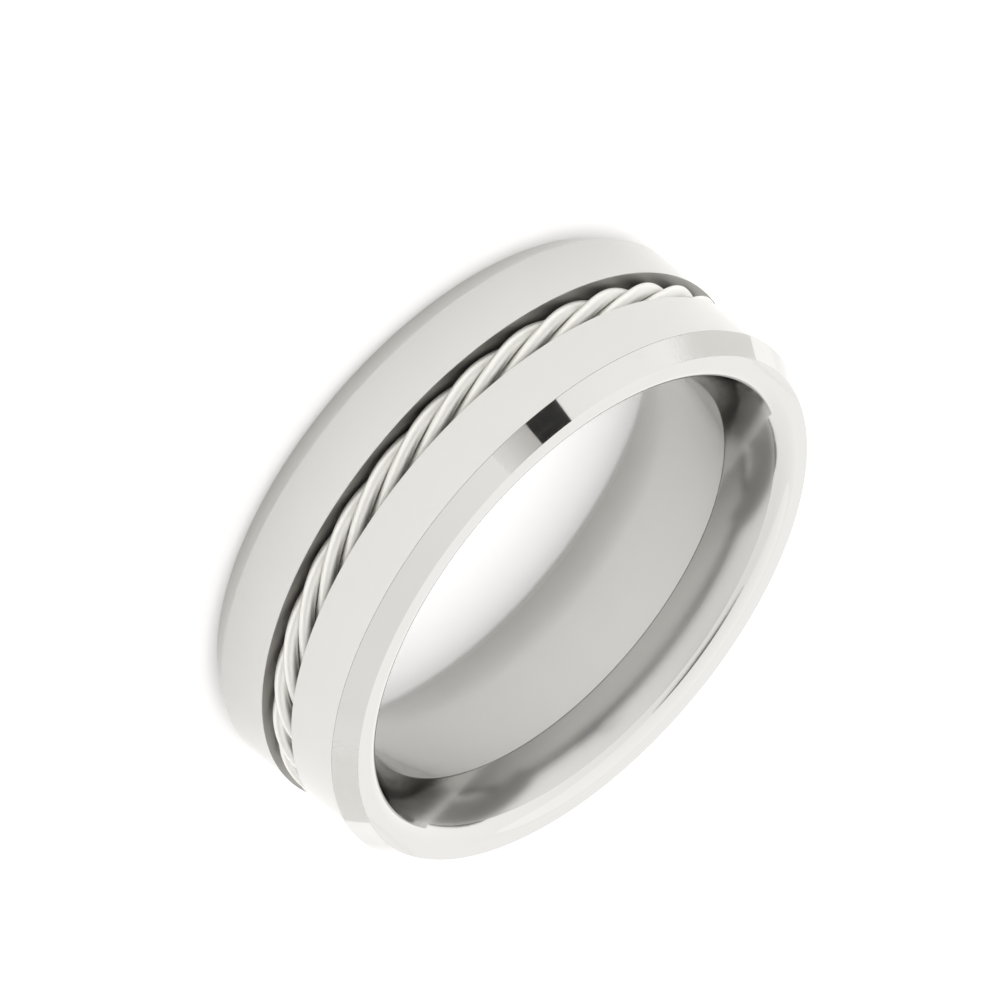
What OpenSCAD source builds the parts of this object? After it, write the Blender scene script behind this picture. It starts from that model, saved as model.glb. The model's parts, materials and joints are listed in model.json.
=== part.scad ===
// Tungsten carbide ring with bevelled outer edges, a flared finger hole and a twisted wire laid in a groove.
// The ring lies on its side: its axis is Z, its lower side face is at Z = 0, and the wire's joint is at +Y.

/* [Band] */
// Diameter of the finger hole at its narrow middle
finger_d = 19; // [16:0.2:22]
// Width of the band, along the finger
band_w = 8; // [7:0.5:9]
// Thickness of the band between the finger hole and the outer face
wall_t = 2.85; // [2.7:0.05:3.2]
// Width of each outer bevel, along the finger
bevel_w = 0.9; // [0.4:0.1:1.4]
// Depth of each outer bevel, towards the finger
bevel_t = 0.58; // [0.3:0.02:0.7]

/* [Finger hole] */
// Width of the straight middle of the finger hole
bore_w = 3.5; // [2.9:0.1:4]
// Slope of the flare where it leaves the straight middle, in degrees from the axis
flare_start = 24; // [20:1:28]
// Slope of the flare where it meets the lip, in degrees from the axis
flare_end = 36; // [34:1:40]
// Radius of the rounded lip between the flare and the side face
lip_r = 0.68; // [0.4:0.02:0.8]
// Angle of the faint edge that the rounding leaves on the flare and on the side face, in degrees
lip_edge = 6; // [4:1:12]

/* [Twisted wire] */
// Width of the groove in the outer face
groove_w = 1.66; // [1.6:0.02:1.9]
// Depth of the groove
groove_t = 1.6; // [1.6:0.02:1.7]
// Diameter of the twisted wire over its four strands
cable_d = 1.5; // [1.3:0.05:1.5]
// How far the wire lies below the outer face
recess_t = 0.06; // [0:0.02:0.06]
// Turns that the twist makes on its way round the ring
twist_turns = 7.5; // [5.5:1:9.5]

/* [Hidden] */

// Band: radii of the finger hole and of the outer face
bore_r = finger_d / 2;
outer_r = bore_r + wall_t;
mid_z = band_w / 2;

// Direction from a rounding's centre to its surface where that has a given slope, as [radius, height]
function towards(slope) = [-cos(slope), sin(slope)];

// Flare: an arc that begins at the straight middle and bulges gently into the hole
flare_h = mid_z - lip_r * (1 - sin(flare_end)) - bore_w / 2;
flare_r = flare_h / (sin(flare_end) - sin(flare_start));
flare_centre = [bore_r, bore_w / 2] - flare_r * towards(flare_start);

// Lip: its centre is set back so that its circle crosses the flare and the side face at the faint edge's angle
lip_z = mid_z - lip_r * cos(lip_edge);
lip_d = sqrt(pow(flare_r, 2) + pow(lip_r, 2) - 2 * flare_r * lip_r * cos(lip_edge));
lip_slope = asin((lip_z - flare_centre.y) / lip_d);
lip_centre = flare_centre + lip_d * towards(lip_slope);

// Wire: four strands of this share of the cable's diameter just clear each other at this lay
strand_n = 4;
strand_share = 0.4;
strand_d = strand_share * cable_d;
helix_r = (cable_d - strand_d) / 2;
cable_r = outer_r - recess_t - cable_d / 2;
seam_angle = 90;
seam_gap = 0.1;
twist_phase = -28;

// Mesh of a strand: sides of its cross-section, and steps along it
strand_sides = 10;
strand_steps = 190;
$fn = 180;

// Corners of the band's cross-section above its middle plane, from the finger hole to the groove's floor
upper = [
    [bore_r, mid_z],
    [outer_r - bevel_t, mid_z],
    [outer_r, mid_z - bevel_w],
    [outer_r, groove_w / 2],
    [outer_r - groove_t, groove_w / 2]
];
lower = [for (i = [len(upper) - 1 : -1 : 0]) [upper[i].x, -upper[i].y]];

// What the flare takes off the end of the finger hole
module flare_cut() {
    reach = 1.4 * flare_r;
    translate(flare_centre) difference() {
        polygon([[0, 0], reach * towards(flare_start - 6), reach * towards(flare_end + 8)]);
        circle(r = flare_r);
    }
}

// What the rounding of a lip takes off the corner between the flare and the side face
module lip_cut() {
    reach = 2 * lip_r;
    translate(lip_centre) difference() {
        polygon([[0, 0], reach * towards(lip_slope), reach * [-1, 1], [0, reach]]);
        circle(r = lip_r);
    }
}

module band() {
    color("gainsboro") translate([0, 0, mid_z]) rotate_extrude() difference() {
        polygon(concat(upper, lower));
        for (end = [0, 1]) mirror([0, end]) {
            flare_cut();
            lip_cut();
        }
    }
}

// Ends of a strand, in degrees round the ring: they leave the seam's gap between them
seam_arc = seam_gap / cable_r * 180 / PI;
start_angle = seam_angle + seam_arc / 2;
end_angle = seam_angle + 360 - seam_arc / 2;

// Angle of the strand round the cable's centre line, counted from the outward direction
function twist(angle, phase) = twist_turns * angle + phase;

// Point at a distance from the cable's centre line, at a place round the ring
function on_cable(angle, psi, r) = [
    (cable_r + r * cos(psi)) * cos(angle),
    (cable_r + r * cos(psi)) * sin(angle),
    r * sin(psi)
];

// Directions at a place on the strand: away from the cable's centre line, and along the strand
function outward(angle, psi) = [cos(psi) * cos(angle), cos(psi) * sin(angle), sin(psi)];
function along(angle, psi) =
    let (round = cable_r + helix_r * cos(psi), turn = helix_r * twist_turns)
    let (t = round * [-sin(angle), cos(angle), 0]
           + turn * [-sin(psi) * cos(angle), -sin(psi) * sin(angle), cos(psi)])
    t / norm(t);

// One round cross-section of the strand, square to its own direction
function section(angle, phase) =
    let (psi = twist(angle, phase), centre = on_cable(angle, psi, helix_r))
    let (out = outward(angle, psi), side = cross(along(angle, psi), out))
    [for (i = [0 : strand_sides - 1])
        let (a = 360 * i / strand_sides)
        centre + strand_d / 2 * (cos(a) * out + sin(a) * side)];

// One strand: a round wire that winds round the cable's centre line once round the ring
module strand(number) {
    phase = twist_phase + 360 * (number - 1) / strand_n;
    step = (end_angle - start_angle) / strand_steps;
    n = strand_sides;
    points = [for (k = [0 : strand_steps]) each section(start_angle + k * step, phase)];
    last = n * strand_steps;
    walls = [for (k = [0 : strand_steps - 1], i = [0 : n - 1])
        let (j = (i + 1) % n, a = k * n + i, b = k * n + j)
        each [[a, a + n, b + n], [a, b + n, b]]];
    start_cap = [for (i = [1 : n - 2]) [0, i, i + 1]];
    end_cap = [for (i = [1 : n - 2]) [last, last + i + 1, last + i]];
    color("whitesmoke") translate([0, 0, mid_z])
        polyhedron(points = points, faces = concat(walls, start_cap, end_cap));
}

band();
strand(1);  // strand_1
strand(2);  // strand_2
strand(3);  // strand_3
strand(4);  // strand_4
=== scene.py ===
# %% [markdown]
# # A tungsten ring with a twisted wire
#
# This lesson dresses a finger ring that was built in CAD. The ring is one heavy piece of tungsten carbide
# with polished bevels, a finger hole that flares at both ends, and a groove in which four round strands lie
# twisted together. The CAD model fixes every size. Blender makes the surfaces smooth enough for a mirror
# polish, gives them their finish, and sets up a small studio.

# %% Load the CAD model as a fixed frame
import json
import math

import bpy
from mathutils import Matrix, Vector


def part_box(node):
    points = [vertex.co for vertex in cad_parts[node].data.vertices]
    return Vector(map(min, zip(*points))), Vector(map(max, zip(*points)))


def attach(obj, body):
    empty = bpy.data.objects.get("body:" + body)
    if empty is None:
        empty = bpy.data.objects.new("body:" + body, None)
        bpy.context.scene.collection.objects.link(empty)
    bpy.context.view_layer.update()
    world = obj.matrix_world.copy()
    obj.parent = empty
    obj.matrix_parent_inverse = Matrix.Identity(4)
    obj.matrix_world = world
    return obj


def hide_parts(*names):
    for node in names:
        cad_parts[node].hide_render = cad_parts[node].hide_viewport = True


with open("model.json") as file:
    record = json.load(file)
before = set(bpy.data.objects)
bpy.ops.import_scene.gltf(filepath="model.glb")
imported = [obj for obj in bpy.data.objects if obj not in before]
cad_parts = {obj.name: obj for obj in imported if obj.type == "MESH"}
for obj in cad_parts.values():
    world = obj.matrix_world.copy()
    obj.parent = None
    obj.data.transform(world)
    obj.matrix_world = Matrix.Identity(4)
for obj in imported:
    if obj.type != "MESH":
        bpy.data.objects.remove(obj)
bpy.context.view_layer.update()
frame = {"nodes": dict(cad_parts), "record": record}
MM = 0.001
print("CAD nodes:", sorted(frame["nodes"]))

# %% [markdown]
# ## Sizes
#
# Everything that the CAD file knows is read from it: the outer radius and the width come from the band's
# box, and the finger hole from the bore mount. What is left is named once here, in millimetres, as a maker
# would read it from the drawing.

# %% Sizes of the ring, in millimetres
band_low, band_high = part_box("band")
OUTER_R = round(band_high.x / MM, 2)
BAND_W = round((band_high.z - band_low.z) / MM, 2)
MID_Z = BAND_W / 2
bore = next(m for m in frame["record"]["mounts"] if m["kind"] == "bore")
BORE_R = bore["dims"]["r_mm"]
BORE_W = bore["dims"]["length_mm"]

BEVEL_W, BEVEL_T = 0.9, 0.58
FLARE_START, FLARE_END = 24, 36
LIP_R = 0.68
CREASE_R_TOP, CREASE_R_BOTTOM = 0.15, 2.0
GROOVE_W, GROOVE_T = 1.66, 1.6

CABLE_D, STRAND_D = 1.5, 0.6
RECESS = 0.06
STRANDS = 4
TWIST_TURNS = 7.5
TWIST_PHASE = -28
SEAM_GAP = 0.1
SMOOTH_ANGLE = math.radians(40)
print(f"ring {2 * OUTER_R} mm across, {BAND_W} mm wide, finger hole {2 * BORE_R} mm")

# %% [markdown]
# ## Small helpers
#
# Operators act on everything that is selected, so each step starts by clearing the selection. In edit mode
# a few lines of code pick vertices, edges or faces by where they are, as the mouse would.

# %% Helpers for selecting and for finishing a piece
def deselect():
    bpy.ops.object.select_all(action="DESELECT")


def only(obj):
    deselect()
    obj.select_set(True)
    bpy.context.view_layer.objects.active = obj
    return obj


def edit(obj, kind="VERT"):
    only(obj)
    bpy.ops.object.mode_set(mode="EDIT")
    bpy.ops.mesh.select_mode(type=kind)
    bpy.ops.mesh.select_all(action="DESELECT")


def leave_edit():
    bpy.ops.object.mode_set(mode="OBJECT")


def pick(obj, parts, wanted):
    """Selects what `wanted` says yes to; parts is "vertices", "edges" or "polygons"."""
    bpy.ops.object.mode_set(mode="OBJECT")
    for part in getattr(obj.data, parts):
        part.select = bool(wanted(part))
    bpy.ops.object.mode_set(mode="EDIT")


def modifier(obj, kind, **settings):
    only(obj)
    made = obj.modifiers.new(kind.title(), kind)
    for name, value in settings.items():
        setattr(made, name, value)
    bpy.ops.object.modifier_apply(modifier=made.name)


def settle(obj):
    """Moves the object's place into its mesh, so that it sits at the origin, unturned and unscaled."""
    only(obj)
    bpy.ops.object.transform_apply(location=True, rotation=True, scale=True)


def shrink(obj):
    """Brings a piece from the workbench, where a unit is a millimetre, to its real size in metres."""
    obj.scale = (MM, MM, MM)
    settle(obj)


def triangles(obj):
    return sum(len(p.vertices) - 2 for p in obj.data.polygons)


# %% [markdown]
# ## The band's cross-section
#
# A ring like this is turned: one cross-section, swept once round the finger. So only the cross-section is
# drawn, as a rectangle as wide as the band and as thick as its wall, and a knife of straight cuts gives it
# its shape.
#
# The mesh tools are made for things about a metre across. A bisect cut, for one, takes a tenth of a
# millimetre to be nothing, and that is wider than some edges here. So the pieces are made on a workbench
# where one unit is one millimetre, and each one shrinks to metres when its shape is finished.

# %% Draw the cross-section and cut its straight sides
def section_point(radius, height):
    return Vector((radius, 0, MID_Z + height))


deselect()
bpy.ops.mesh.primitive_plane_add(
    size=1,
    location=section_point((BORE_R + OUTER_R) / 2, 0),
    rotation=(math.pi / 2, 0, 0),
)
band = bpy.context.object
band.name = "band_polished"
band.scale = (OUTER_R - BORE_R, BAND_W, 1)
settle(band)


CUT_THRESHOLD = 0.00001


def cut(point, normal, clear):
    bpy.ops.mesh.select_all(action="SELECT")
    bpy.ops.mesh.bisect(plane_co=point, plane_no=normal, clear_outer=clear, threshold=CUT_THRESHOLD)


groove_floor = OUTER_R - GROOVE_T


def in_groove(face):
    return face.center.x > groove_floor and abs(face.center.z - MID_Z) < GROOVE_W / 2


edit(band)
for side in (1, -1):
    cut(section_point(OUTER_R, side * (MID_Z - BEVEL_W)), (BEVEL_W, 0, side * BEVEL_T), True)
    cut(section_point(OUTER_R, side * GROOVE_W / 2), (0, 0, 1), False)
cut(section_point(groove_floor, 0), (1, 0, 0), False)
pick(band, "polygons", in_groove)
bpy.ops.mesh.delete(type="FACE")
leave_edit()
print("band: two bevels and a groove of", GROOVE_W, "by", GROOVE_T, "mm")

# %% [markdown]
# ## The comfort fit
#
# A wide ring is only comfortable if the finger hole has no edge. Its straight middle turns softly into a
# flare, the flare bulges a little, and a tighter rounding, the lip, ends it at the side face. Each of these
# curves is an arc, and each arc touches the next one without a corner. An arc that bulges is easily cut: a
# row of straight cuts, each one laid against the circle at the next slope, peels off all that lies outside
# it.
#
# The crease, where the straight middle ends, is crisp at the upper end of the hole and softly rounded at
# the lower one, because the photo shows a clear edge at the upper crease only.

# %% Peel the crease, the flare and the lip out of the corner
CREASE_CUTS, FLARE_CUTS, LIP_CUTS = 10, 9, 14
FLAT_ANGLE = 0.2


def towards(slope):
    """Direction from an arc's centre to its surface where that has a given slope, as (radius, height)."""
    return Vector((-math.cos(math.radians(slope)), math.sin(math.radians(slope))))


def peel(side, centre, radius, first, last, cuts):
    """Cuts along an arc from one slope to another, at the upper end (side 1) or the lower end (side -1)."""
    for number in range(cuts):
        way = towards(first + (last - first) * (number + 0.5) / cuts)
        touch = centre + radius * way
        cut(section_point(touch.x, side * touch.y), (way.x, 0, side * way.y), True)


sine_start, sine_end = (math.sin(math.radians(slope)) for slope in (FLARE_START, FLARE_END))
flare_height = MID_Z - LIP_R * (1 - sine_end) - BORE_W / 2
flare_r = flare_height / (sine_end - sine_start)
flare_centre = Vector((BORE_R, BORE_W / 2)) - flare_r * towards(FLARE_START)
lip_centre = flare_centre + (flare_r - LIP_R) * towards(FLARE_END)

edit(band)
for side, crease_r in ((1, CREASE_R_TOP), (-1, CREASE_R_BOTTOM)):
    crease_radius = BORE_R + crease_r
    crease_slope = math.degrees(math.acos((flare_centre.x - crease_radius) / (flare_r - crease_r)))
    crease_centre = flare_centre + (flare_r - crease_r) * towards(crease_slope)
    peel(side, crease_centre, crease_r, 0, crease_slope, CREASE_CUTS)
    peel(side, flare_centre, flare_r, crease_slope, FLARE_END, FLARE_CUTS)
    peel(side, lip_centre, LIP_R, FLARE_END, 90, LIP_CUTS)
bpy.ops.mesh.select_all(action="SELECT")
bpy.ops.mesh.dissolve_limited(angle_limit=math.radians(FLAT_ANGLE))
leave_edit()
print(f"flare: radius {flare_r:.2f} mm, lip ends {2 * lip_centre.x:.2f} mm across")
print("outline:", len(band.data.vertices), "corners")

# %% [markdown]
# ## Break the sharp edges, and spin the outline
#
# No metal edge is perfectly sharp. The edges of the bevels and of the groove's mouth get a rounding of one
# or two hundredths of a millimetre, just enough to catch the light, and the corners of the groove's floor a
# larger one, that of the grinding wheel. Then the face is deleted, and the outline that is left is spun
# once round the axis.

# %% Round the corners and spin the outline
EDGE_ROUND = {"floor": 0.12, "mouth": 0.02, "bevel": 0.015}
EDGE_SEGMENTS = 4
NEAR = 0.01
SPIN_STEPS = 288
MERGE_DISTANCE = 0.001


def corner(vertex):
    """The kind of corner that a vertex of the outline is: a name in EDGE_ROUND, or an arc, which stays."""
    radius, height = vertex.co.x, abs(vertex.co.z - MID_Z)
    if abs(height - GROOVE_W / 2) < NEAR:
        return "mouth" if radius > OUTER_R - NEAR else "floor"
    return "bevel" if radius > OUTER_R - BEVEL_T - NEAR else "arc"


for name, offset in EDGE_ROUND.items():
    wanted = {v.index for v in band.data.vertices if corner(v) == name and not v.hide}
    edit(band)
    pick(band, "vertices", lambda v: v.index in wanted)
    bpy.ops.mesh.bevel(offset_type="OFFSET", offset=offset, segments=EDGE_SEGMENTS, affect="VERTICES")
    bpy.ops.mesh.hide(unselected=False)
    leave_edit()
edit(band)
bpy.ops.mesh.reveal()
bpy.ops.mesh.select_all(action="SELECT")
bpy.ops.mesh.delete(type="ONLY_FACE")
bpy.ops.mesh.select_all(action="SELECT")
bpy.ops.mesh.spin(steps=SPIN_STEPS, angle=2 * math.pi, center=(0, 0, 0), axis=(0, 0, 1))
bpy.ops.mesh.select_all(action="SELECT")
bpy.ops.mesh.remove_doubles(threshold=MERGE_DISTANCE)
bpy.ops.mesh.normals_make_consistent(inside=False)
leave_edit()
print("band:", triangles(band), "triangles")

# %% [markdown]
# ## The wire, screwed straight
#
# The wire in the groove is four round strands laid round each other like a rope. One strand is easiest to
# make straight: a circle that stands square to the strand's path is screwed along X. The twist is
# left-handed, so the screw turns backwards. Its length is the circle through the middle of the groove, less
# the small gap at the joint.

# %% Screw one straight strand
cable_r = OUTER_R - RECESS - CABLE_D / 2
helix_r = (CABLE_D - STRAND_D) / 2
round_length = 2 * math.pi * cable_r
wire_length = round_length - SEAM_GAP
twist = 2 * math.pi * TWIST_TURNS * wire_length / round_length
lay_angle = math.atan(helix_r * twist / wire_length)
STRAND_SIDES = 24
STEPS_PER_TURN = 96

deselect()
bpy.ops.mesh.primitive_circle_add(
    vertices=STRAND_SIDES,
    radius=STRAND_D / 2,
    location=(0, -helix_r, 0),
    rotation=(0, math.pi / 2 - lay_angle, 0),
)
straight = bpy.context.object
straight.name = "straight_strand"
settle(straight)
modifier(
    straight,
    "SCREW",
    axis="X",
    angle=-twist,
    screw_offset=wire_length,
    steps=round(STEPS_PER_TURN * TWIST_TURNS),
    render_steps=round(STEPS_PER_TURN * TWIST_TURNS),
    use_stretch_u=True,
    use_stretch_v=True,
)
edit(straight, "EDGE")
bpy.ops.mesh.select_non_manifold(extend=False)
bpy.ops.mesh.edge_face_add()
bpy.ops.mesh.select_all(action="SELECT")
bpy.ops.mesh.normals_make_consistent(inside=False)
leave_edit()
print(f"strand: {wire_length:.1f} mm long, lay angle {math.degrees(lay_angle):.1f} degrees")
print("straight strand:", triangles(straight), "triangles")

# %% [markdown]
# ## Four strands, bent round the ring
#
# The strand is copied four times, each copy turned a quarter further, so that they nest. Then each copy is
# bent: the Simple Deform modifier rolls up its X axis into a circle about Z. The angle of the bend is the
# strand's own extent divided by the radius, so the middle of the wire lands exactly on that radius. The
# strand's middle comes to lie towards -Y, where the photo looks, and its joint is at the back.

# %% Copy, turn and bend the strands
# The drawing counts angles from +X, so the side that the photo looks at, -Y, is at 270 degrees.
NEAR_SIDE = 270
middle_turn = math.radians(TWIST_TURNS * NEAR_SIDE + TWIST_PHASE)
strands = []
for number in range(1, STRANDS + 1):
    only(straight)
    bpy.ops.object.duplicate(linked=False)
    strand = bpy.context.object
    strand.name = f"strand_{number}_round"
    start_turn = middle_turn + 2 * math.pi * (number - 1) / STRANDS - twist / 2
    strand.rotation_euler.x = -start_turn
    strand.location.x = -wire_length / 2
    settle(strand)
    xs = [v.co.x for v in strand.data.vertices]
    modifier(
        strand,
        "SIMPLE_DEFORM",
        deform_method="BEND",
        deform_axis="Z",
        angle=(max(xs) - min(xs)) / cable_r,
    )
    strand.location = (0, -cable_r, MID_Z)
    settle(strand)
    shrink(strand)
    bpy.ops.object.shade_smooth_by_angle(angle=SMOOTH_ANGLE)
    strands.append(strand)
bpy.data.objects.remove(straight)
print("strands:", [s.name for s in strands])

# %% [markdown]
# ## Helpers for materials
#
# Colours are picked as sRGB hex values, as in any paint program, and Blender wants them linear, so one
# function turns them. A second one adds a node, sets what is given by name, and links the sockets that it
# is handed.

# %% Colour and node helpers
def srgb(code):
    parts = [int(code[i : i + 2], 16) / 255 for i in (1, 3, 5)]
    return [c / 12.92 if c <= 0.04045 else ((c + 0.055) / 1.055) ** 2.4 for c in parts] + [1.0]


def node(tree, kind, sockets=None, **settings):
    made = tree.nodes.new(kind)
    for name, value in settings.items():
        setattr(made, name, value)
    for name, value in (sockets or {}).items():
        if isinstance(value, bpy.types.NodeSocket):
            tree.links.new(value, made.inputs[name])
        else:
            made.inputs[name].default_value = value
    return made


def new_material(name):
    material = bpy.data.materials.new(name)
    material.use_nodes = True
    material.node_tree.nodes.clear()
    return material, material.node_tree


def finish_metal(tree, colour, roughness, normal):
    shader = node(tree, "ShaderNodeBsdfPrincipled", {
        "Base Color": colour, "Metallic": 1.0, "Roughness": roughness, "Normal": normal,
    })
    node(tree, "ShaderNodeOutputMaterial", {"Surface": shader.outputs["BSDF"]})


# %% [markdown]
# ## Polished tungsten carbide
#
# Tungsten carbide is ground with diamond and then polished until it is almost a mirror. The wheel runs
# round the ring, so what little grain is left runs round it too. Object coordinates are turned into an
# angle round the axis and stretched noise is laid along it: long streaks, a few hundredths of a millimetre
# wide. They change the roughness and tilt the surface by a hair, and the colour hardly at all.

# %% Tungsten carbide, in three finishes
def around_ring(tree, along, across):
    """Coordinates that follow the ring: `along` repeats for a turn, `across` repeats for a millimetre."""
    place = node(tree, "ShaderNodeTexCoord").outputs["Object"]
    xyz = node(tree, "ShaderNodeSeparateXYZ", {"Vector": place}).outputs
    flat = node(tree, "ShaderNodeCombineXYZ", {"X": xyz["X"], "Y": xyz["Y"]}).outputs["Vector"]
    radius = node(tree, "ShaderNodeVectorMath", {0: flat}, operation="LENGTH").outputs["Value"]
    direction = node(tree, "ShaderNodeVectorMath", {0: flat}, operation="NORMALIZE").outputs["Vector"]
    scaled = {0: direction, "Scale": along}
    turned = node(tree, "ShaderNodeVectorMath", scaled, operation="SCALE").outputs["Vector"]
    depth = node(tree, "ShaderNodeMath", {0: radius, 1: xyz["Z"]}, operation="ADD").outputs["Value"]
    lift = node(tree, "ShaderNodeMath", {0: depth, 1: across / MM}, operation="MULTIPLY").outputs["Value"]
    lifted = node(tree, "ShaderNodeCombineXYZ", {"Z": lift}).outputs["Vector"]
    return node(tree, "ShaderNodeVectorMath", {0: turned, 1: lifted}, operation="ADD").outputs["Vector"]


def ground_metal(name, colours, roughness, streak_mm, streak_turn, bump):
    material, tree = new_material(name)
    streaks = node(tree, "ShaderNodeTexNoise", {
        "Vector": around_ring(tree, streak_turn, 1 / streak_mm),
        "Scale": 1.0, "Detail": 3.0, "Roughness": 0.6,
    }).outputs["Fac"]
    cloud = node(tree, "ShaderNodeTexNoise", {
        "Vector": node(tree, "ShaderNodeTexCoord").outputs["Object"], "Scale": 0.3 / MM, "Detail": 2.0,
    }).outputs["Fac"]
    both = node(tree, "ShaderNodeMath", {0: streaks, 1: cloud}, operation="ADD").outputs["Value"]
    rough = node(tree, "ShaderNodeMapRange", {
        "Value": both, "From Min": 0.6, "From Max": 1.4, "To Min": roughness[0], "To Max": roughness[1],
    }).outputs["Result"]
    ramp = node(tree, "ShaderNodeValToRGB", {"Fac": cloud})
    for element, code in zip(ramp.color_ramp.elements, colours):
        element.color = srgb(code)
    lift = node(tree, "ShaderNodeBump", {"Height": streaks, "Strength": bump, "Distance": 0.001 * MM})
    finish_metal(tree, ramp.outputs["Color"], rough, lift.outputs["Normal"])
    return material


mirror_carbide = ground_metal(
    "tungsten carbide, mirror polished", ("#C9C8C5", "#CCCBC8"), (0.03, 0.06), 0.06, 3.0, 0.08
)
buffed_carbide = ground_metal(
    "tungsten carbide, buffed bore", ("#BFBEBB", "#C3C2BF"), (0.13, 0.17), 0.08, 3.0, 0.2
)
raw_groove = ground_metal(
    "tungsten carbide, ground groove", ("#A3A19D", "#B0AEAA"), (0.45, 0.60), 0.05, 4.0, 0.6
)
print("metals:", mirror_carbide.name, "|", buffed_carbide.name, "|", raw_groove.name)

# %% [markdown]
# ## Give each face of the band its finish
#
# The outer faces, bevels, side faces and lips are mirror polished. The finger hole is buffed only, up to
# just before its lips, and the walls and floor of the groove stay as the grinding wheel left them.
#
# Smooth shading blends the directions of neighbouring faces. On a mirror that would bend the reflections of
# the flat bevels, so a Weighted Normal modifier lets the large faces keep their own direction, and only the
# narrow roundings blend. It has to come before the band shrinks, because it takes faces of a few hundredths
# of a millimetre for empty.

# %% Assign the finishes by place
POLISH_SLOPE = 34.5
polish_radius = flare_centre.x - flare_r * math.cos(math.radians(POLISH_SLOPE))


def finish(face):
    """Number of a face's finish: 0 mirror polished, 1 buffed, 2 ground."""
    radius, height = math.hypot(face.center.x, face.center.y), abs(face.center.z - MID_Z)
    if height < GROOVE_W / 2 + 2 * NEAR and groove_floor - 2 * NEAR < radius < OUTER_R - NEAR:
        return 2
    return 1 if radius < polish_radius else 0


for material in (mirror_carbide, buffed_carbide, raw_groove):
    band.data.materials.append(material)
for index in (1, 2):
    edit(band, "FACE")
    pick(band, "polygons", lambda face: finish(face) == index)
    band.active_material_index = index
    bpy.ops.object.material_slot_assign()
    leave_edit()
only(band)
bpy.ops.object.shade_smooth_by_angle(angle=SMOOTH_ANGLE)
modifier(band, "WEIGHTED_NORMAL", mode="FACE_AREA", weight=100, keep_sharp=True)
shrink(band)
print("faces in each finish:", [sum(p.material_index == i for p in band.data.polygons) for i in range(3)])

# %% [markdown]
# ## Bright drawn wire
#
# The wire is a white metal, such as silver or steel, that was drawn through a die. It is bright, but satin
# rather than mirror-like: drawing leaves fine lines along it, and they spread what it reflects. The screw
# gave each strand a UV map, U along the wire and V round it, so noise that is squeezed in V and stretched
# in U makes those lines follow the twist.

# %% Drawn wire
def drawn_wire(name, colour, roughness, lines_round, lines_along, bump):
    material, tree = new_material(name)
    uv = node(tree, "ShaderNodeTexCoord").outputs["UV"]
    stretched = node(tree, "ShaderNodeMapping", {
        "Vector": uv, "Scale": (lines_along, lines_round, 1.0),
    }).outputs["Vector"]
    lines = node(tree, "ShaderNodeTexNoise", {
        "Vector": stretched, "Scale": 1.0, "Detail": 3.0, "Roughness": 0.55,
    }).outputs["Fac"]
    rough = node(tree, "ShaderNodeMapRange", {
        "Value": lines, "From Min": 0.3, "From Max": 0.7, "To Min": roughness[0], "To Max": roughness[1],
    }).outputs["Result"]
    ramp = node(tree, "ShaderNodeValToRGB", {"Fac": lines})
    for element, code in zip(ramp.color_ramp.elements, colour):
        element.color = srgb(code)
    lift = node(tree, "ShaderNodeBump", {"Height": lines, "Strength": bump, "Distance": 0.002 * MM})
    finish_metal(tree, ramp.outputs["Color"], rough, lift.outputs["Normal"])
    return material


bright_wire = drawn_wire("bright drawn wire", ("#ECEBE7", "#F2F1ED"), (0.50, 0.58), 40.0, 60.0, 0.10)
for strand in strands:
    strand.data.materials.clear()
    strand.data.materials.append(bright_wire)
print("wire:", bright_wire.name)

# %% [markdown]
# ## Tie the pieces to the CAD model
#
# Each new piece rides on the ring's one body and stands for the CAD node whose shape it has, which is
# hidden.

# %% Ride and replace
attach(band, "root")
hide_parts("band")
for number, strand in enumerate(strands, 1):
    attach(strand, "root")
    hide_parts(f"strand_{number}")

# %% [markdown]
# ## The studio
#
# A mirror shows its surroundings, so polished metal is lit by what stands round it. The ring lies on a
# light table, a board of white acrylic that is lit from below, in a white tent. A sheet of graded paper
# stands round it like a collar: it darkens the flares of the finger hole, which look low over the board,
# and leaves the bevels bright, which look higher. Its top edge is cut aslant, low at the back, and has a
# dark tape along it, which draws the dark line in the flare. It is cut away at the back, where the tent
# lights the ring directly.

# %% Acrylic, paper and tape
def plain_material(name, code, roughness, glow=0.0):
    """A matt sheet of one colour with a very fine grain. It may glow as well."""
    material, tree = new_material(name)
    speckle = node(tree, "ShaderNodeTexNoise", {
        "Vector": node(tree, "ShaderNodeTexCoord").outputs["Object"], "Scale": 4.0 / MM, "Detail": 4.0,
    }).outputs["Fac"]
    lift = node(tree, "ShaderNodeBump", {"Height": speckle, "Strength": 0.05, "Distance": 0.01 * MM})
    shader = node(tree, "ShaderNodeBsdfPrincipled", {
        "Base Color": srgb(code), "Roughness": roughness, "Normal": lift.outputs["Normal"],
        "Emission Color": srgb("#FFFFFF"), "Emission Strength": glow,
    })
    node(tree, "ShaderNodeOutputMaterial", {"Surface": shader.outputs["BSDF"]})
    return material


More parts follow.
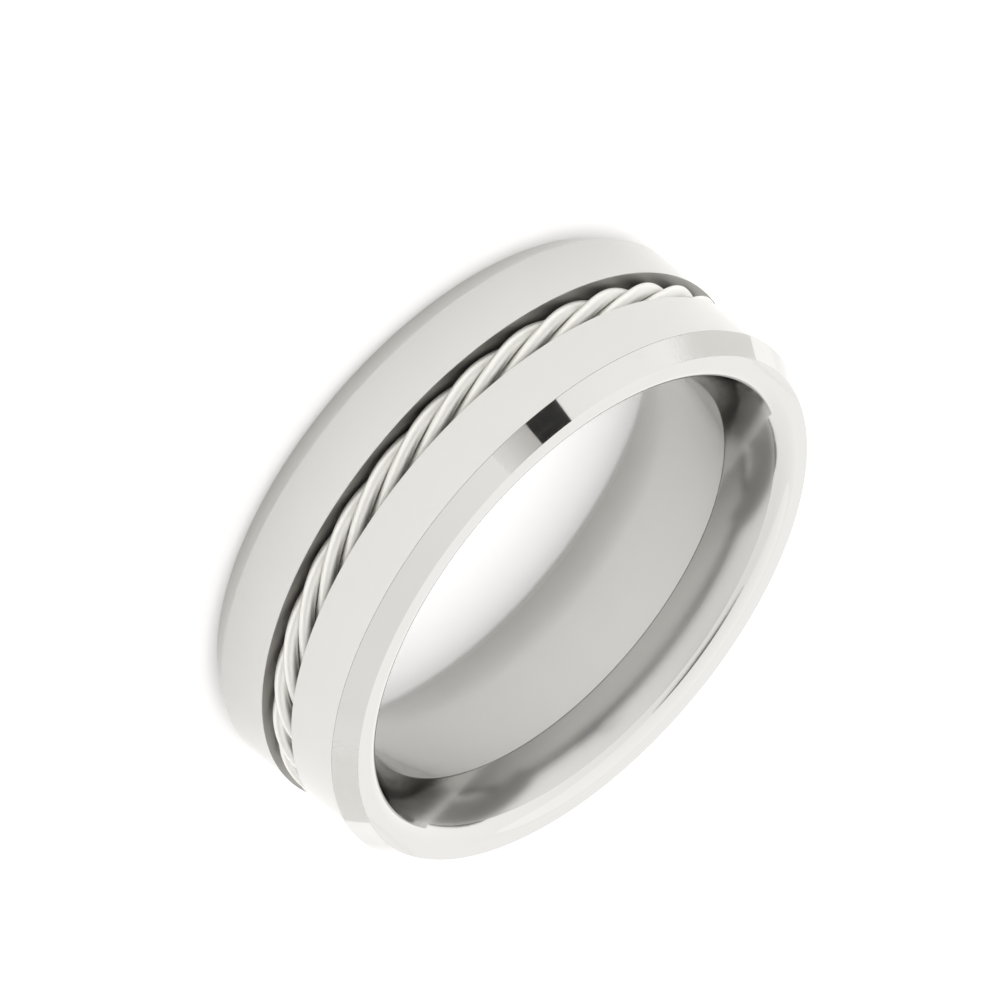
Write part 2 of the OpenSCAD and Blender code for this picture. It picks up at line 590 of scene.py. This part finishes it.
def graded_paper(name, coordinates, axis, unit, steps):
    """Paper that is printed with a soft gradient: steps are (place along an axis in units, colour)."""
    material, tree = new_material(name)
    place = node(tree, "ShaderNodeTexCoord").outputs[coordinates]
    height = node(tree, "ShaderNodeSeparateXYZ", {"Vector": place}).outputs[axis]
    ends = {"Value": height, "From Min": 0.0, "From Max": steps[-1][0] * unit}
    share = node(tree, "ShaderNodeMapRange", ends)
    ramp = node(tree, "ShaderNodeValToRGB", {"Fac": share.outputs["Result"]})
    while len(ramp.color_ramp.elements) < len(steps):
        ramp.color_ramp.elements.new(0.5)
    for element, (level, code) in zip(ramp.color_ramp.elements, steps):
        element.position = level / steps[-1][0]
        element.color = srgb(code)
    shader = node(tree, "ShaderNodeBsdfPrincipled", {"Base Color": ramp.outputs["Color"], "Roughness": 0.9})
    node(tree, "ShaderNodeOutputMaterial", {"Surface": shader.outputs["BSDF"]})
    return material


def feathered_paper(name, code, share):
    """Paper that fades in over the first share of its length, so that its reflection begins softly."""
    material, tree = new_material(name)
    place = node(tree, "ShaderNodeTexCoord").outputs["UV"]
    along = node(tree, "ShaderNodeSeparateXYZ", {"Vector": place}).outputs["X"]
    ends = {"Value": along, "From Min": 0.0, "From Max": share}
    cover = node(tree, "ShaderNodeMapRange", ends, interpolation_type="SMOOTHSTEP")
    shader = node(tree, "ShaderNodeBsdfPrincipled", {
        "Base Color": srgb(code), "Roughness": 0.9, "Alpha": cover.outputs["Result"],
    })
    node(tree, "ShaderNodeOutputMaterial", {"Surface": shader.outputs["BSDF"]})
    return material


acrylic = plain_material("white acrylic, lit from below", "#FBFAF9", 0.6, glow=0.22)
black_tape = plain_material("black tape", "#151514", 0.9)
black_paper = plain_material("black paper", "#141412", 0.9)
grey_paper = plain_material("grey paper", "#8F8E8C", 0.9)
faded_paper = graded_paper("paper that fades to grey", "UV", "X", 1.0, [(0.0, "#FFFFFF"), (1.0, "#CECDCB")])
soft_paper = feathered_paper("white paper with a feathered edge", "#FCFBF9", 0.36)
collar_paper = graded_paper("graded paper", "Object", "Z", MM, [
    (0, "#6C6B69"), (46, "#959492"), (68, "#B3B2B0"), (110, "#D0CFCD"),
])
sheets = (acrylic, black_tape, black_paper, grey_paper, faded_paper, soft_paper, collar_paper)
print("sheets:", [sheet.name for sheet in sheets])

# %% Board and collar
BOARD_SIDE = 4000
deselect()
bpy.ops.mesh.primitive_plane_add(size=BOARD_SIDE * MM)
board = bpy.context.object
board.name = "board"
board.data.materials.append(acrylic)

# A slanting plane is given by its height over the middle of the board, as a share of the collar's radius,
# and by how steeply it falls towards the back. What lies above either plane of a pair is cut off, or else
# taped.
COLLAR_R, COLLAR_H = 250, 400
COLLAR_SIDES = 144
TOP_EDGES = ((0.384, 0.312), (0.375, 0.520))
TAPE_EDGES = ((0.324, 0.302), (0.315, 0.518))
COLLAR_BACK = 0.55


def above(point, edge):
    """How far a point of the collar lies above a slanting edge, as a share of the collar's radius."""
    middle, slant = edge
    return (point.z + slant * point.y) / (COLLAR_R * MM) - middle


deselect()
bpy.ops.mesh.primitive_cylinder_add(
    vertices=COLLAR_SIDES,
    radius=COLLAR_R * MM,
    depth=COLLAR_H * MM,
    end_fill_type="NOTHING",
    location=(0, 0, COLLAR_H / 2 * MM),
)
collar = bpy.context.object
collar.name = "collar"
settle(collar)
edit(collar)
for edges, clear in ((TOP_EDGES, True), (TAPE_EDGES, False)):
    for middle, slant in edges:
        bpy.ops.mesh.select_all(action="SELECT")
        level = (0, 0, middle * COLLAR_R * MM)
        bpy.ops.mesh.bisect(plane_co=level, plane_no=(0, slant, 1), clear_outer=clear)
bpy.ops.mesh.select_all(action="SELECT")
bpy.ops.mesh.bisect(plane_co=(0, COLLAR_BACK * COLLAR_R * MM, 0), plane_no=(0, 1, 0), clear_outer=True)
collar.data.materials.append(collar_paper)
collar.data.materials.append(black_tape)
pick(collar, "polygons", lambda face: max(above(face.center, edge) for edge in TAPE_EDGES) > 0)
collar.active_material_index = 1
bpy.ops.object.material_slot_assign()
leave_edit()
collar.visible_camera = False
print("collar:", triangles(collar), "triangles")

# %% [markdown]
# ## Where a reflection looks
#
# A card has to stand where the metal reflects it. A mirror sends the line of sight off at the same angle on
# the other side of its normal, so that place can be worked out for each spot on the ring, from its radius,
# its height, its turn round the axis and its slope. A card is then a bent strip that fills the reflection
# between two slopes, over a range of turns. None of the cards is seen by the camera itself.

# %% Work out where a card hangs
ELEVATION = 27.85
SIGHT = Vector((0, math.cos(math.radians(ELEVATION)), -math.sin(math.radians(ELEVATION))))


def mirrored(turn, slope, radius, height, reach):
    """The point, `reach` mm away, that shows in a surface with this slope, at this turn from -Y to -X."""
    a, b = math.radians(turn), math.radians(slope)
    outward = Vector((-math.sin(a), -math.cos(a), 0))
    normal = outward * math.cos(b) + Vector((0, 0, math.sin(b)))
    return outward * radius + Vector((0, 0, height)) + SIGHT.reflect(normal) * reach


def bent_card(name, bottom, top, material):
    """A card between two rows of points in millimetres, its bottom and its top edge."""
    deselect()
    bpy.ops.mesh.primitive_grid_add(x_subdivisions=len(bottom) - 1, y_subdivisions=1, size=1)
    card = bpy.context.object
    card.name = name
    for vertex in card.data.vertices:
        column = round((vertex.co.x + 0.5) * (len(bottom) - 1))
        vertex.co = (bottom if vertex.co.y < 0 else top)[column] * MM
    card.data.materials.append(material)
    card.visible_camera = False


def hang_card(name, turns, low, high, spot, reach, material):
    """A card that fills what a spot (radius, height) mirrors between two slopes, at each of the turns."""

    def edge(slopes):
        return [mirrored(turn, slope, *spot, reach) for turn, slope in zip(turns, slopes)]

    bent_card(name, edge(low), edge(high), material)


def row(first, last, count):
    return [first + (last - first) * number / (count - 1) for number in range(count)]


print("line of sight:", [round(part, 3) for part in SIGHT])

# %% [markdown]
# ## Cards for the near bevel
#
# A black card puts the patch on the near bevel that tells the eye that it is a mirror, and a card that
# fades to grey leads up to it. At the two ends of that bevel hangs white paper. It is less bright than the
# tent, so it shades the ends lightly, and its inner edge is feathered, so that the shade begins softly.

# %% Hang the cards for the near bevel
PATCH_TURNS, PATCH_REACH = row(19, 26.5, 5), 125
SHADE_TURNS, SHADE_REACH = row(10.5, 19, 5), 300
OUTER_TURNS, OUTER_REACH = row(52, 80, 15), 100
PATCH_SPREAD, OUTER_SPREAD = 0.6, 0.5
bevel_slope = math.degrees(math.atan2(BEVEL_T, BEVEL_W))
on_bevel = (OUTER_R - BEVEL_T / 2, BAND_W - BEVEL_W / 2)


def hang_bevel_card(name, turns, spread, reach, material):
    """A card that fills the near bevel: its slopes lie this far below and above the bevel's own."""
    low, high = ([bevel_slope + part] * len(turns) for part in (-spread, spread))
    hang_card(name, turns, low, high, on_bevel, reach, material)


hang_bevel_card("patch_card", PATCH_TURNS, PATCH_SPREAD, PATCH_REACH, black_paper)
hang_bevel_card("shade_card", SHADE_TURNS, PATCH_SPREAD, SHADE_REACH, faded_paper)
for side, name in ((1, "left_shade"), (-1, "right_shade")):
    hang_bevel_card(name, [side * turn for turn in OUTER_TURNS], OUTER_SPREAD, OUTER_REACH, soft_paper)
patch_middle = mirrored(PATCH_TURNS[2], bevel_slope, *on_bevel, PATCH_REACH)
print("the middle of the black patch hangs at", [round(part) for part in patch_middle], "mm")

# %% [markdown]
# ## Cards for the far lip and the ends of the flare
#
# The flare and the lip face the middle of the ring, so their slopes count on past 90 degrees, which is
# straight up. A black card that tapers at both ends draws a fine line along the far lip, and two grey cards
# darken the two ends of the flare. Near those ends a ray can be mirrored twice by the ring. A small grey
# flag close above each side of the ring catches some of these rays.

# %% Hang the cards for the far lip and flare
LIP_COLUMNS, LIP_REACH = 17, 260
LIP_TURNS = row(187.5, 154, LIP_COLUMNS)
LIP_SLOPE, LIP_HALF_WIDTH = 144.65, 0.22
at_lip = (lip_centre.x - 0.4, BAND_W - 0.36)
taper = [LIP_HALF_WIDTH * math.sin(math.pi * (number + 0.5) / LIP_COLUMNS) for number in range(LIP_COLUMNS)]
lip_low, lip_high = ([LIP_SLOPE + side * width for width in taper] for side in (1, -1))
hang_card("lip_card", LIP_TURNS, lip_low, lip_high, at_lip, LIP_REACH, black_paper)

END_REACH = 55
END_TURNS = row(38, 82, 23)
END_LOW = [150.5] * 20 + [149.5, 148.5, 147.8]
END_HIGH = row(148.8, 145.5, 7) + row(145.2, 144.5, 6) + [144.4] * 10
in_flare = (BORE_R + 0.7, BAND_W - 1.1)
for side, name in ((1, "left_card"), (-1, "right_card")):
    turns = [180 - side * turn for turn in END_TURNS]
    hang_card(name, turns, END_LOW, END_HIGH, in_flare, END_REACH, grey_paper)

# A flag stands upright at FLAG_X. Its upper edge lies where the line of sight passes that plane after the
# far flare has mirrored it. The slope of the flare there rises to FLAG_SLOPE along a parabola and stays
# there.
FLAG_X = 11.5
FLAG_TURNS, FLAG_LEVEL_TURN = row(38, 66, 8), 62
FLAG_SLOPE, FLAG_SLOPE_DROP = 35, 3.8
FLAG_LOW, FLAG_LOW_DROP = 12, 0.8


def flag_top(side, turn):
    """A point on a flag's upper edge, for a place on the far flare at this turn from the back."""
    share = max(FLAG_LEVEL_TURN - turn, 0) / (FLAG_LEVEL_TURN - FLAG_TURNS[0])
    slope = FLAG_SLOPE - FLAG_SLOPE_DROP * share**2
    radius, height = flare_centre + flare_r * towards(slope)
    place = (180 - side * turn, 180 - slope, radius, MID_Z + height)
    spot, beyond = mirrored(*place, 0), mirrored(*place, 1)
    way = beyond - spot
    return spot + way * ((side * FLAG_X - spot.x) / way.x)


for side, name in ((1, "right_flag"), (-1, "left_flag")):
    top = [flag_top(side, turn) for turn in FLAG_TURNS]
    lows = [FLAG_LOW - FLAG_LOW_DROP * share**2 for share in row(0, 1, len(top))]
    bottom = [Vector((point.x, point.y, low)) for point, low in zip(top, lows)]
    bent_card(name, bottom, top, grey_paper)
print("the left flag's upper edge, y and z:", [(round(point.y, 1), round(point.z, 1)) for point in top])

# %% [markdown]
# ## Light
#
# The tent glows evenly, a little more towards the back and the left than towards the front and the right,
# so that the side face comes out bright. One large soft lamp overhead lights the floor of the finger hole.

# %% Tent and lamp
TENT_DIM, TENT_BRIGHT = 1.15, 1.44
BRIGHT_SIDE = (-0.76, 0.65, 0)
LAMP_W, LAMP_D, LAMP_H = 0.5, 1400, 700
world = bpy.data.worlds.new("white tent")
bpy.context.scene.world = world
world.use_nodes = True
world.node_tree.nodes.clear()
outward = node(world.node_tree, "ShaderNodeTexCoord").outputs["Generated"]
facing_light = node(
    world.node_tree, "ShaderNodeVectorMath", {0: outward, 1: BRIGHT_SIDE}, operation="DOT_PRODUCT"
).outputs["Value"]
glow = node(world.node_tree, "ShaderNodeMapRange", {
    "Value": facing_light, "From Min": -1.0, "From Max": 1.0, "To Min": TENT_DIM, "To Max": TENT_BRIGHT,
}).outputs["Result"]
tent = node(world.node_tree, "ShaderNodeBackground", {"Color": srgb("#FFFFFF"), "Strength": glow})
node(world.node_tree, "ShaderNodeOutputWorld", {"Surface": tent.outputs["Background"]})

lamp_data = bpy.data.lights.new("lamp", "AREA")
lamp_data.shape = "DISK"
lamp_data.size = LAMP_D * MM
lamp_data.energy = LAMP_W
lamp = bpy.data.objects.new("lamp", lamp_data)
bpy.context.scene.collection.objects.link(lamp)
lamp.location = (0, 0, LAMP_H * MM)
bpy.context.scene.view_settings.view_transform = "Standard"
print("tent from", TENT_DIM, "to", TENT_BRIGHT, "and a lamp of", LAMP_W, "W")

# %% [markdown]
# ## The camera
#
# The photo was taken with a long lens, so an orthographic camera fits it. It looks down at the ring by
# 27.85 degrees, and it is rolled so that the ring's axis points to the lower right.

# %% Camera
ROLL = 129.85
PICTURE_W = 38.47
SHIFT_RIGHT, SHIFT_UP = -0.469, 1.885
DISTANCE = 150
CLIP_NEAR, CLIP_FAR = 1, 10000
camera_data = bpy.data.cameras.new("camera")
camera_data.type = "ORTHO"
camera_data.ortho_scale = PICTURE_W * MM
camera_data.clip_start, camera_data.clip_end = CLIP_NEAR * MM, CLIP_FAR * MM
camera = bpy.data.objects.new("camera", camera_data)
bpy.context.scene.collection.objects.link(camera)
turn = Matrix.Rotation(math.radians(90 - ELEVATION), 4, "X") @ Matrix.Rotation(math.radians(ROLL), 4, "Z")
right, up, back = (turn.to_3x3().col[i] for i in range(3))
aim = Vector((0, 0, MID_Z)) + right * SHIFT_RIGHT + up * SHIFT_UP
camera.matrix_world = Matrix.Translation((aim + back * DISTANCE) * MM) @ turn
bpy.context.scene.camera = camera
print("camera at", [round(c / MM, 1) for c in camera.location])

# %% Bring the scene up to date
bpy.context.view_layer.update()
